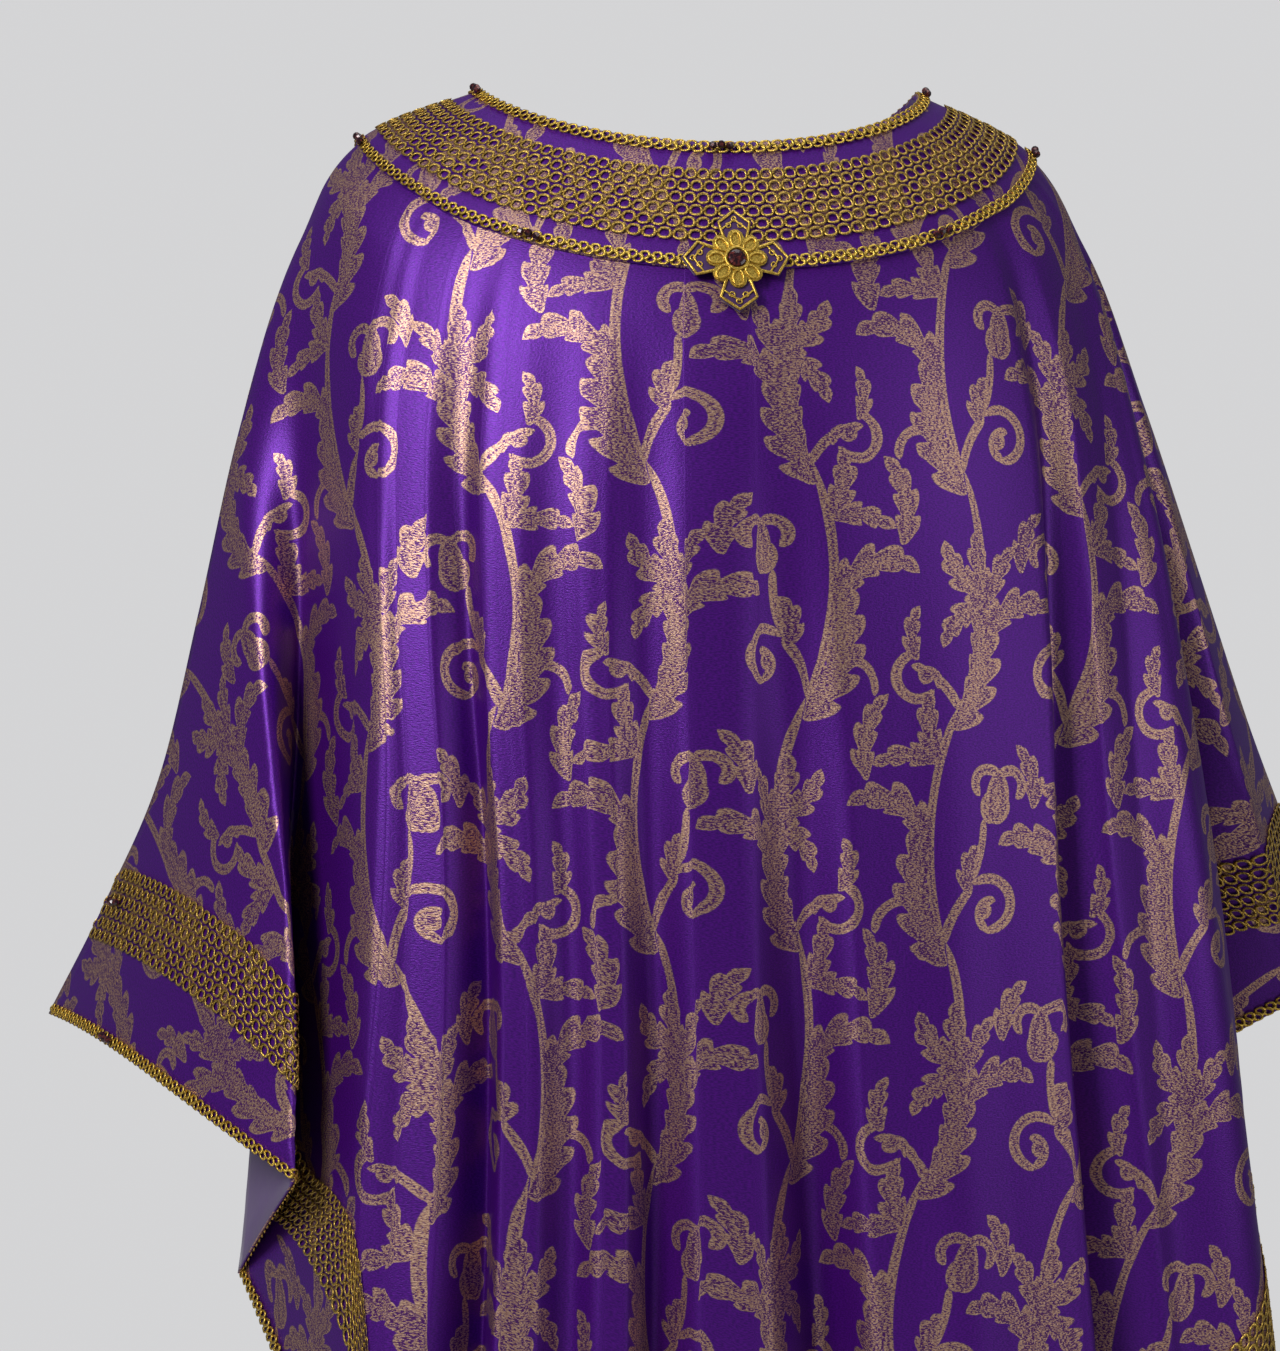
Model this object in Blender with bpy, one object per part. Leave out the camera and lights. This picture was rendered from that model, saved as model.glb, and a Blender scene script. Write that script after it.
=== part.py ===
# A gothic chasuble as it hangs on a wearer whose forearms reach forward: the back faces -Y, the
# front +Y, and the origin is the middle of the neck opening at the height of the shoulders.
import math
from collections import namedtuple
from operator import attrgetter

import bmesh
import bpy
import numpy as np
from mathutils import Vector

# Driving dimensions, in metres
CLOTH = 0.002  # wall of the brocade panels
YOKE_CLOTH = 0.0015
LACE_CLOTH = 0.001
GIMP_CLOTH = 0.002
SEAM = 0.0003  # space between pieces that are sewn together
SEAM_TURN = 0.06  # degrees from the shoulder seam to the edge of either panel
GIMP_WIDTH = 0.009
LACE_WIDTH = 0.056
YOKE_WIDTH = 0.096
YOKE_LACE_START = 0.021  # from the neck edge to the lace
HEM_LACE_START = 0.064  # from the outer edge to the lace
CROSS_ARM = 0.036  # from the middle of the cross to an arm's point
CROSS_PLATE = 0.0018
ROSETTE_PLATE = 0.0014
STONE_RADIUS = 0.0062
STONE_HEIGHT = 0.0026

# Fineness of the mesh
COLUMNS = 57  # along the edge of one panel
BEND_WEIGHT = 0.045  # how strongly the columns gather at bends
BODY_ROWS = 10  # from the yoke to the first row of edge trims
FINE_COLUMNS = 721  # where lengths of cloth are measured

# A section is one ring of cloth, from the neck (down 0) to the outer edge (down 1). Left and right are
# where the cloth rides over the shoulder and arm. Flat makes the plan boxier. Fall shapes the drop from
# the arm to the middle of the back or front, and on the left it gives way to an even drop.
Section = namedtuple("Section", "name down left right back front flat left_even")
Side = namedtuple("Side", "x y z fall")
End = namedtuple("End", "y z")
SECTIONS = (
    Section("neck", 0.00, Side(0.146, 0.004, 0.000, 1.3), Side(0.146, 0.004, 0.000, 1.3),
            End(-0.112, -0.040), End(0.118, -0.050), 0.00, 0.0),
    Section("yoke edge", 0.08, Side(0.222, 0.006, -0.030, 1.3), Side(0.218, 0.006, -0.034, 1.3),
            End(-0.162, -0.129), End(0.166, -0.138), 0.00, 0.0),
    Section("shoulder", 0.19, Side(0.270, 0.006, -0.100, 1.5), Side(0.264, 0.006, -0.100, 1.4),
            End(-0.192, -0.255), End(0.198, -0.266), 0.15, 0.0),
    Section("upper arm", 0.34, Side(0.308, 0.002, -0.222, 1.8), Side(0.306, 0.002, -0.210, 1.5),
            End(-0.203, -0.440), End(0.216, -0.446), 0.45, 0.3),
    Section("mid arm", 0.50, Side(0.336, 0.004, -0.345, 1.8), Side(0.344, 0.000, -0.322, 1.6),
            End(-0.208, -0.640), End(0.228, -0.640), 0.75, 0.7),
    Section("elbow", 0.66, Side(0.362, 0.020, -0.455, 1.8), Side(0.382, 0.012, -0.425, 1.7),
            End(-0.214, -0.845), End(0.242, -0.836), 0.90, 1.0),
    Section("forearm", 0.83, Side(0.398, 0.072, -0.545, 1.8), Side(0.424, 0.060, -0.505, 1.7),
            End(-0.220, -1.060), End(0.256, -1.040), 1.00, 1.0),
    Section("outer edge", 1.00, Side(0.436, 0.135, -0.628, 1.8), Side(0.464, 0.120, -0.580, 1.7),
            End(-0.228, -1.275), End(0.268, -1.248), 1.00, 1.0),
)

# A fold is a trough (depth above 0) or a ridge (below 0) that runs down the cloth. Angles are degrees
# round the neck: 0 is the middle of the back, +90 the right arm, 180 the middle of the front. Each
# is given at the neck and at the outer edge, with half the fold's width. Starts is how far down it
# begins, depth is at the edge, lean turns it towards larger angles, and gather draws its mouth in.
Fold = namedtuple("Fold", "name top top_half edge edge_half starts depth lean gather")
FOLDS = (
    Fold("left back pleat", -81, 34.0, -57.3, 3.6, 0.13, 0.180, -52, 0.60),
    Fold("left blade trough", -43, 6.0, -44.5, 4.2, 0.05, 0.050, 8, 0.30),
    Fold("left inner trough", -27, 5.5, -31, 5.0, 0.09, 0.026, 0, 0.00),
    Fold("left middle trough", -14, 5.5, -15, 6.5, 0.10, 0.050, -6, 0.15),
    Fold("right middle trough", 2, 8.0, 19, 9.0, 0.14, 0.078, 6, 0.15),
    Fold("right inner ridge", 31, 9.0, 37, 8.0, 0.20, -0.012, 0, 0.00),
    Fold("right blade trough", 55, 5.8, 59, 5.0, 0.04, 0.056, -10, 0.30),
    Fold("right back ridge", 80, 8.0, 69, 6.5, 0.08, -0.034, 0, 0.00),
    Fold("right back pleat", 85, 5.0, 78.5, 3.8, 0.15, 0.165, 6, 0.50),
    Fold("right front pleat", 103, 30.0, 121, 4.2, 0.13, 0.150, -6, 0.50),
    Fold("right chest trough", 137, 6.0, 138, 5.0, 0.06, 0.060, 0, 0.30),
    Fold("right front trough", 157, 6.5, 154, 6.0, 0.10, 0.046, 0, 0.15),
    Fold("front middle trough", 176, 7.0, 174, 7.0, 0.12, 0.062, 0, 0.20),
    Fold("left front trough", 201, 7.0, 201, 6.5, 0.09, 0.044, 0, 0.15),
    Fold("left chest trough", 222, 6.0, 220, 5.0, 0.05, 0.058, 0, 0.30),
    Fold("left front pleat", 257, 30.0, 239, 4.2, 0.14, 0.150, 6, 0.50),
)
FOLD_GROWTH = 1.1  # how a fold deepens on its way down
FOLD_NARROWING = 2.0  # how soon a fold reaches its width at the edge
BOX_POWER = 4.3  # corner of the boxy plan
SIDE_SPREAD = 1.1  # how the boxy plan spreads towards the arm
EVEN_POWER = 2.05  # how an even drop starts at the arm
EVEN_END = 1.3  # how it levels out in the middle

# The cross, in shares of an arm: (degrees from the arm's axis, radius)
CROSS_TIP = (0.0, 1.00)
CROSS_CORNER = (23.5, 0.82)
CROSS_WAIST = (27.5, 0.50)
ROSETTE_PETALS = 8
ROSETTE_RADIUS = 0.56
ROSETTE_NOTCH = 0.42


def section_column(name, down):
    """One column of the section table, such as left.x, at any depth down the cloth, on a smooth curve."""
    at = np.array([row.down for row in SECTIONS])
    value = np.array([attrgetter(name)(row) for row in SECTIONS])
    slope = np.gradient(value, at)
    i = np.clip(np.searchsorted(at, down, side="right") - 1, 0, len(at) - 2)
    span = at[i + 1] - at[i]
    t = (down - at[i]) / span
    return (
        value[i] * (1 + 2 * t) * (1 - t) ** 2
        + slope[i] * span * t * (1 - t) ** 2
        + value[i + 1] * t * t * (3 - 2 * t)
        + slope[i + 1] * span * t * t * (t - 1)
    )


def plan(angle, down):
    """The cloth seen from above before its folds: x and y at an angle round the neck."""
    back = np.abs(angle) <= 90.0
    left = angle < 0
    share = np.where(back, np.abs(angle), 180.0 - np.abs(angle)) / 90.0
    quarter = share * math.pi / 2
    flat = np.clip(section_column("flat", down), 0.0, 1.0)
    across = (1 - flat) * np.sin(quarter) + flat * share**SIDE_SPREAD
    along = (1 - flat) * np.cos(quarter) + flat * (1 - share**BOX_POWER)
    half_width = np.where(left, section_column("left.x", down), section_column("right.x", down))
    side_y = np.where(left, section_column("left.y", down), section_column("right.y", down))
    end_y = np.where(back, section_column("back.y", down), section_column("front.y", down))
    return np.sign(angle) * half_width * across, side_y + (end_y - side_y) * along


def height(angle, down, share):
    """How high the cloth is, where share runs from 0 on the arm to 1 at the middle of back or front."""
    back = np.abs(angle) <= 90.0
    left = angle < 0
    rise = np.sin(share * math.pi / 2)
    fall = np.where(left, section_column("left.fall", down), section_column("right.fall", down))
    even = np.where(left, np.clip(section_column("left_even", down), 0, 1), 0)
    drop = (1 - even) * rise**fall + even * (1 - (1 - share**EVEN_POWER) ** EVEN_END)
    side_z = np.where(left, section_column("left.z", down), section_column("right.z", down))
    end_z = np.where(back, section_column("back.z", down), section_column("front.z", down))
    return side_z + (end_z - side_z) * drop


def heading(angle, down):
    """The way the plan runs, towards larger angles, as two parts of a unit length."""
    x_after, y_after = plan(wrapped(angle + 0.25), down)
    x_before, y_before = plan(wrapped(angle - 0.25), down)
    length = np.hypot(x_after - x_before, y_after - y_before)
    return (x_after - x_before) / length, (y_after - y_before) / length


def folded_plan(angle, down):
    """The cloth seen from above with its folds."""
    gathered = angle.copy()
    push_x, push_y = np.zeros(angle.shape), np.zeros(angle.shape)
    for fold in FOLDS:
        middle = fold.top + (fold.edge - fold.top) * down
        half = fold.edge_half + (fold.top_half - fold.edge_half) * (1 - down) ** FOLD_NARROWING
        off = wrapped(angle - middle)
        window = np.clip(1 - (off / half) ** 2, 0, None) ** 2
        growth = np.clip((down - fold.starts) / (1 - fold.starts), 0, None) ** FOLD_GROWTH
        gathered -= fold.gather * np.minimum(growth * 2, 1) * off * window
        inward = fold.depth * growth * window * math.cos(math.radians(fold.lean))
        sideways = fold.depth * growth * window * math.sin(math.radians(fold.lean))
        # The run goes towards larger angles, so a quarter turn of it points into the garment.
        run_x, run_y = heading(middle, down)
        push_x += sideways * run_x - inward * run_y
        push_y += sideways * run_y + inward * run_x
    x, y = plan(wrapped(gathered), down)
    return x + push_x, y + push_y


def wrapped(angle):
    """The same angle between -180 and 180."""
    return (angle + 180.0) % 360.0 - 180.0


def shares_of_edge():
    """For angles right round, how much of the folded edge lies between them and the nearest arm."""
    angles = np.linspace(-180, 180, 4 * FINE_COLUMNS - 3)
    x, y = folded_plan(angles, np.ones(len(angles)))
    steps = np.hypot(np.diff(x), np.diff(y))
    shares = np.zeros(len(angles))
    quarter = FINE_COLUMNS - 1
    for q in range(4):
        part = steps[q * quarter : (q + 1) * quarter]
        rising = np.concatenate([[0], np.cumsum(part)]) / part.sum()
        # The quarters begin at the front, so the first and third run towards an arm.
        shares[q * quarter : (q + 1) * quarter + 1] = 1 - rising if q in (0, 2) else rising
    return angles, shares


def cloth(angle, down):
    """A point of the draped cloth's outside."""
    angle, down = np.broadcast_arrays(np.asarray(angle, float), np.asarray(down, float))
    down = np.clip(down, 0, 1)
    turn = wrapped(angle)
    x, y = folded_plan(turn, down)
    even = np.abs(np.abs(turn) - 90.0) / 90.0
    share = even + (np.interp(turn, *EDGE_SHARES) - even) * down
    return np.stack([x, y, height(turn, down, share)], axis=-1)


def smooth_cloth(angle, down):
    """The cloth without its folds, where the stiff cross lies."""
    x, y = plan(angle, down)
    return np.stack([x, y, height(angle, down, np.abs(np.abs(angle) - 90.0) / 90.0)], axis=-1)


def outward(angle, down):
    """The cloth's normal, which points away from the wearer."""
    turn, drop = 0.4, 0.004
    along = cloth(angle + turn, down) - cloth(angle - turn, down)
    fall = cloth(angle, down + drop) - cloth(angle, down - drop)
    normal = np.cross(fall, along)
    return normal / np.linalg.norm(normal, axis=-1, keepdims=True)


def column_angles(first, last, count):
    """Angles from first to last, close together where the folded cloth bends."""
    fine = np.linspace(first, last, FINE_COLUMNS)
    length = np.zeros(FINE_COLUMNS)
    for down in (0.5, 1.0):
        run = np.diff(cloth(fine, down), axis=0)
        heading = np.unwrap(np.arctan2(run[:, 1], run[:, 0]))
        bend = np.abs(np.diff(heading, append=heading[-1:]))
        steps = np.linalg.norm(run, axis=1) + BEND_WEIGHT * bend
        length[1:] += np.cumsum(steps) / steps.sum()
    return np.interp(np.linspace(0, length[-1], count), length, fine)


def down_at(angles, distances, from_edge):
    """How far down a line lies that keeps a distance from the neck edge, or from the outer edge."""
    end = 1.0 if from_edge else 0.0
    probe = 0.02
    near, far = min(end + probe, 1.0), max(end - probe, 0.0)
    fall = (cloth(angles, near) - cloth(angles, far)) / (near - far)
    along = cloth(angles + 0.5, end) - cloth(angles - 0.5, end)
    along /= np.linalg.norm(along, axis=1, keepdims=True)
    across = np.linalg.norm(fall - along * (fall * along).sum(1, keepdims=True), axis=1)
    for _ in range(6):
        padded = np.concatenate([across[:1], across, across[-1:]])
        across = (padded[:-2] + 2 * padded[1:-1] + padded[2:]) / 4
    sign = -1.0 if from_edge else 1.0
    return end + sign * np.outer(distances, 1 / across)


def panel_grid(first, last):
    """Outer points and normals of one panel, a row for each line down the cloth."""
    angles = column_angles(first, last, COLUMNS + 1)
    yoke = down_at(angles, YOKE_ROWS, from_edge=False)
    edge = down_at(angles, HEM_ROWS, from_edge=True)
    shares = np.linspace(0, 1, BODY_ROWS + 2)[1:-1, None]
    body = yoke[-1] + (edge[0] - yoke[-1]) * shares
    downs = np.vstack([yoke, body, edge])
    downs = np.clip(downs, 0, 1)
    return cloth(angles[None, :], downs), outward(np.tile(angles, (len(downs), 1)), downs)


EDGE_SHARES = shares_of_edge()
YOKE_LACE_END = YOKE_LACE_START + LACE_WIDTH
YOKE_ROWS = (0.0, YOKE_LACE_START, YOKE_LACE_START + LACE_WIDTH / 2, YOKE_LACE_END, YOKE_WIDTH)
HEM_ROWS = (HEM_LACE_START + LACE_WIDTH, HEM_LACE_START, GIMP_WIDTH, 0.0)


def row_between(rows, position):
    """A row of the grid, or a line between two rows, as a share of the way between them."""
    i = min(int(position), len(rows) - 2)
    return rows[i] + (rows[i + 1] - rows[i]) * (position - i)


def colour_of(name, red, green, blue, roughness, metallic):
    material = bpy.data.materials.new(name)
    material.diffuse_color = (red, green, blue, 1)
    material.use_nodes = True
    shader = material.node_tree.nodes["Principled BSDF"]
    shader.inputs["Base Color"].default_value = (red, green, blue, 1)
    shader.inputs["Roughness"].default_value = roughness
    shader.inputs["Metallic"].default_value = metallic
    return material


def add_object(name, mesh, material, smooth_below=60):
    mesh.materials.append(material)
    mesh.shade_smooth()
    mesh.set_sharp_from_angle(angle=math.radians(smooth_below))
    obj = bpy.data.objects.new(name, mesh)
    garment.objects.link(obj)
    return obj


def wall(name, grid, positions, inner, outer, material, ring=False):
    """A closed wall over some rows of a grid, between two distances out from the grid's points."""
    points = np.array([row_between(grid[0], p) for p in positions])
    normals = np.array([row_between(grid[1], p) for p in positions])
    rows, columns = points.shape[:2]
    mesh_maker = bmesh.new()
    layers = []
    for offset in (outer, inner):
        placed = points + normals * offset
        layers.append([[mesh_maker.verts.new(p) for p in row] for row in placed])
    last = columns if ring else columns - 1
    for r in range(rows - 1):
        for c in range(last):
            d = (c + 1) % columns
            # Every piece on the same columns splits its faces the same way, so none cuts another.
            for layer in layers:
                mesh_maker.faces.new((layer[r][c], layer[r + 1][c], layer[r + 1][d]))
                mesh_maker.faces.new((layer[r][c], layer[r + 1][d], layer[r][d]))
    for c in range(last):
        d = (c + 1) % columns
        mesh_maker.faces.new((layers[0][0][c], layers[0][0][d], layers[1][0][d], layers[1][0][c]))
        mesh_maker.faces.new((layers[0][-1][d], layers[0][-1][c], layers[1][-1][c], layers[1][-1][d]))
    if not ring:
        for r in range(rows - 1):
            mesh_maker.faces.new(
                (layers[0][r + 1][0], layers[0][r][0], layers[1][r][0], layers[1][r + 1][0])
            )
            mesh_maker.faces.new(
                (layers[0][r][-1], layers[0][r + 1][-1], layers[1][r + 1][-1], layers[1][r][-1])
            )
    bmesh.ops.recalc_face_normals(mesh_maker, faces=mesh_maker.faces)
    mesh = bpy.data.meshes.new(name)
    mesh_maker.to_mesh(mesh)
    mesh_maker.free()
    return add_object(name, mesh, material)


def polar_plate(name, radius_at, turns, shares, bottom, top, place, material):
    """A plate whose outline is a radius for each turn, laid on the cloth by place(x, y, height)."""
    mesh_maker = bmesh.new()
    layers = []
    for height in (top, bottom):
        middle = mesh_maker.verts.new(place(0, 0, height))
        rings = []
        for share in shares:
            ring = []
            for turn in turns:
                r = radius_at(turn) * share
                ring.append(mesh_maker.verts.new(place(r * math.cos(turn), r * math.sin(turn), height)))
            rings.append(ring)
        layers.append((middle, rings))
    count = len(turns)
    for middle, rings in layers:
        for i in range(count):
            j = (i + 1) % count
            mesh_maker.faces.new((middle, rings[0][i], rings[0][j]))
            for inside, outside in zip(rings, rings[1:]):
                mesh_maker.faces.new((inside[i], outside[i], outside[j], inside[j]))
    for i in range(count):
        j = (i + 1) % count
        upper, lower = layers[0][1][-1], layers[1][1][-1]
        mesh_maker.faces.new((upper[i], lower[i], lower[j], upper[j]))
    bmesh.ops.recalc_face_normals(mesh_maker, faces=mesh_maker.faces)
    mesh = bpy.data.meshes.new(name)
    mesh_maker.to_mesh(mesh)
    mesh_maker.free()
    return add_object(name, mesh, material, smooth_below=30)


def cross_radius(turn):
    """The outline of the cross: four arms that flare to a pointed end."""
    off = abs((math.degrees(turn) + 45.0) % 90.0 - 45.0)
    stops = (CROSS_TIP, CROSS_CORNER, CROSS_WAIST, (45.0, 0.40))
    for (a0, r0), (a1, r1) in zip(stops, stops[1:]):
        if off <= a1:
            x0, y0 = r0 * math.cos(math.radians(a0)), r0 * math.sin(math.radians(a0))
            x1, y1 = r1 * math.cos(math.radians(a1)), r1 * math.sin(math.radians(a1))
            s, c = math.sin(math.radians(off)), math.cos(math.radians(off))
            # Where the ray at this angle meets the straight side between two stops
            return CROSS_ARM * (x0 * y1 - x1 * y0) / (c * (y1 - y0) - s * (x1 - x0))
    return CROSS_ARM * stops[-1][1]


def rosette_radius(turn):
    """The outline of the rosette: rounded petals with a notch between each two."""
    wave = abs(math.cos(turn * ROSETTE_PETALS / 2))
    return CROSS_ARM * (ROSETTE_NOTCH + (ROSETTE_RADIUS - ROSETTE_NOTCH) * wave**0.7)


def cross_place(x, y, lift):
    """A point of the cross, x across and y up from its middle, on the cloth at the yoke's edge."""
    angle = np.array([0.0])
    per_degree = np.linalg.norm(cloth(angle + 0.5, 0.08) - cloth(angle - 0.5, 0.08))
    yoke_edge = down_at(np.linspace(-2, 2, 5), (YOKE_WIDTH,), from_edge=False)[0, 2]
    per_down = np.linalg.norm(cloth(angle, yoke_edge + 0.01) - cloth(angle, yoke_edge - 0.01)) / 0.02
    at_angle = angle + x / per_degree
    at_down = np.array([yoke_edge - (y + GIMP_WIDTH / 2) / per_down])
    along = smooth_cloth(at_angle + 0.5, at_down) - smooth_cloth(at_angle - 0.5, at_down)
    fall = smooth_cloth(at_angle, at_down + 0.01) - smooth_cloth(at_angle, at_down - 0.01)
    normal = np.cross(fall, along)
    point = smooth_cloth(at_angle, at_down) + lift * normal / np.linalg.norm(normal)
    return Vector(point[0])


def dome(name, radius, height, base, material):
    """A low round stone with its flat side on the rosette."""
    mesh_maker = bmesh.new()
    bmesh.ops.create_uvsphere(mesh_maker, u_segments=16, v_segments=8, radius=1)
    lower = [v for v in mesh_maker.verts if v.co.z < -0.01]
    bmesh.ops.delete(mesh_maker, geom=lower, context="VERTS")
    rim = [e for e in mesh_maker.edges if e.is_boundary]
    bmesh.ops.edgeloop_fill(mesh_maker, edges=rim)
    for vertex in mesh_maker.verts:
        x, y, z = vertex.co
        vertex.co = cross_place(x * radius, y * radius, base + z * height)
    bmesh.ops.recalc_face_normals(mesh_maker, faces=mesh_maker.faces)
    mesh = bpy.data.meshes.new(name)
    mesh_maker.to_mesh(mesh)
    mesh_maker.free()
    return add_object(name, mesh, material)


def arc_turns(stops_per_arm):
    """Turns round the cross that include the corners of each arm."""
    turns = []
    for arm in range(4):
        for off in stops_per_arm:
            turns.append(math.radians(arm * 90 + off))
    return sorted(turns)


for old in list(bpy.data.objects):
    bpy.data.objects.remove(old)
garment = bpy.data.collections.new("chasuble")
bpy.context.scene.collection.children.link(garment)

brocade = colour_of("purple brocade", 0.110, 0.010, 0.270, 0.42, 0.2)
lace_gold = colour_of("gold lace", 0.560, 0.400, 0.110, 0.38, 0.9)
gimp_gold = colour_of("gold gimp braid", 0.760, 0.560, 0.120, 0.34, 0.9)
stone_red = colour_of("garnet stone", 0.080, 0.012, 0.016, 0.12, 0.1)

# The seams run over the shoulders and down the arms, so each panel stops just short of 90 degrees.
back = panel_grid(-90 + SEAM_TURN, 90 - SEAM_TURN)
front = panel_grid(90 + SEAM_TURN, 270 - SEAM_TURN)
body_rows = range(len(back[0]))
wall("back_panel", back, body_rows, -CLOTH, 0, brocade)
wall("front_panel", front, body_rows, -CLOTH, 0, brocade)

# The yoke and its trims go round the neck as one ring, laid on both panels.
ring = tuple(np.concatenate([b, f], axis=1) for b, f in zip(back, front))
on_panel = SEAM
on_yoke = on_panel + YOKE_CLOTH + SEAM
on_gimp = on_yoke + GIMP_CLOTH + SEAM
neck_gimp_row = GIMP_WIDTH / YOKE_LACE_START
edge_gimp_row = 4 - GIMP_WIDTH / (YOKE_ROWS[4] - YOKE_ROWS[3])
wall("yoke", ring, (0, 1, 2, 3, 4), on_panel, on_panel + YOKE_CLOTH, brocade, ring=True)
wall("neck_gimp", ring, (0, neck_gimp_row), on_yoke, on_yoke + GIMP_CLOTH, gimp_gold, ring=True)
wall("yoke_lace", ring, (1, 2, 3), on_yoke, on_yoke + LACE_CLOTH, lace_gold, ring=True)
wall("yoke_gimp", ring, (edge_gimp_row, 4), on_yoke, on_yoke + GIMP_CLOTH, gimp_gold, ring=True)

# The lace and the gimp follow the outer edge of each panel.
lace_row = len(back[0]) - 4
for side, grid in (("back", back), ("front", front)):
    wall(f"{side}_edge_lace", grid, (lace_row, lace_row + 1), SEAM, SEAM + LACE_CLOTH, lace_gold)
    wall(f"{side}_edge_gimp", grid, (lace_row + 2, lace_row + 3), SEAM, SEAM + GIMP_CLOTH, gimp_gold)

# The cross lies on the yoke's lace and gimp in the middle of the back.
cross_turns = arc_turns((-27.5, -23.5, -12, 0, 12, 23.5, 27.5, 36, 45, 54))
rosette_turns = [2 * math.pi * i / 48 for i in range(48)]
on_cross = on_gimp + CROSS_PLATE + SEAM
on_rosette = on_cross + ROSETTE_PLATE + SEAM
polar_plate(
    "cross", cross_radius, cross_turns, (0.4, 0.7, 1.0), on_gimp, on_gimp + CROSS_PLATE,
    cross_place, gimp_gold,
)
polar_plate(
    "cross_rosette", rosette_radius, rosette_turns, (0.6, 1.0), on_cross, on_cross + ROSETTE_PLATE,
    cross_place, gimp_gold,
)
dome("cross_stone", STONE_RADIUS, STONE_HEIGHT, on_rosette, stone_red)
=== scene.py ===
# A gothic chasuble in purple brocade with gold lace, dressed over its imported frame.
# The back faces -Y. Lengths are metres, and angles are degrees round the neck: 0 is the
# middle of the back, +90 the right arm and 180 the middle of the front.
import math
from collections import namedtuple
import bmesh
import bpy
import numpy as np
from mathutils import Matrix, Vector


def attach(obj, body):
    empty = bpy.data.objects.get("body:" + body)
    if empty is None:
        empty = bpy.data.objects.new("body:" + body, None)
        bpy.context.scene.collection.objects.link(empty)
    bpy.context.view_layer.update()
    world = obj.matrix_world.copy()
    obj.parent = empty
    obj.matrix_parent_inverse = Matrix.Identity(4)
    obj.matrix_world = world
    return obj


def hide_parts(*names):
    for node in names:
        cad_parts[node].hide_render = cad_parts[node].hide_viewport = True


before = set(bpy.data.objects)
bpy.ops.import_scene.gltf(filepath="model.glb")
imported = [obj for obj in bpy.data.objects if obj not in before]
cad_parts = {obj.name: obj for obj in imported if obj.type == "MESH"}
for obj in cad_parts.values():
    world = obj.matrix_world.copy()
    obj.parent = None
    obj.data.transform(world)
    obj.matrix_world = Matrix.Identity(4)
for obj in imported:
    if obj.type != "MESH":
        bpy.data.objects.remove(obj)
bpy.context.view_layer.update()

scene = bpy.context.scene
print("chasuble: frame loaded")

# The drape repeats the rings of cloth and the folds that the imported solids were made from.
Section = namedtuple(
    "Section",
    "name down leftX leftY leftZ leftFall rightX rightY rightZ rightFall"
    " backY backZ frontY frontZ flat leftEven",
)
drape = {
    "sections": (
        Section("neck", 0.00, .146, .004, .000, 1.3, .146, .004, .000, 1.3, -.112, -.040, .118, -.050, 0.00, 0.0),
        Section("yoke edge", 0.08, .222, .006, -.030, 1.3, .218, .006, -.034, 1.3, -.162, -.129, .166, -.138, 0.00, 0.0),
        Section("shoulder", 0.19, .270, .006, -.100, 1.5, .264, .006, -.100, 1.4, -.192, -.255, .198, -.266, 0.15, 0.0),
        Section("upper arm", 0.34, .308, .002, -.222, 1.8, .306, .002, -.210, 1.5, -.203, -.440, .216, -.446, 0.45, 0.3),
        Section("mid arm", 0.50, .336, .004, -.345, 1.8, .344, .000, -.322, 1.6, -.208, -.640, .228, -.640, 0.75, 0.7),
        Section("elbow", 0.66, .362, .020, -.455, 1.8, .382, .012, -.425, 1.7, -.214, -.845, .242, -.836, 0.90, 1.0),
        Section("forearm", 0.83, .398, .072, -.545, 1.8, .424, .060, -.505, 1.7, -.220, -1.060, .256, -1.040, 1.00, 1.0),
        Section("outer edge", 1.00, .436, .135, -.628, 1.8, .464, .120, -.580, 1.7, -.228, -1.275, .268, -1.248, 1.00, 1.0),
    ),
    "boxPower": 4.3,  # corner of the boxy plan
    "sideSpread": 1.1,  # how the boxy plan spreads towards the arm
    "evenPower": 2.05,  # how an even drop starts at the arm
    "evenEnd": 1.3,  # how it levels out in the middle
    "foldGrowth": 1.1,  # how a fold deepens on its way down
    "foldNarrowing": 2.0,  # how soon a fold reaches its width at the edge
}
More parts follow.
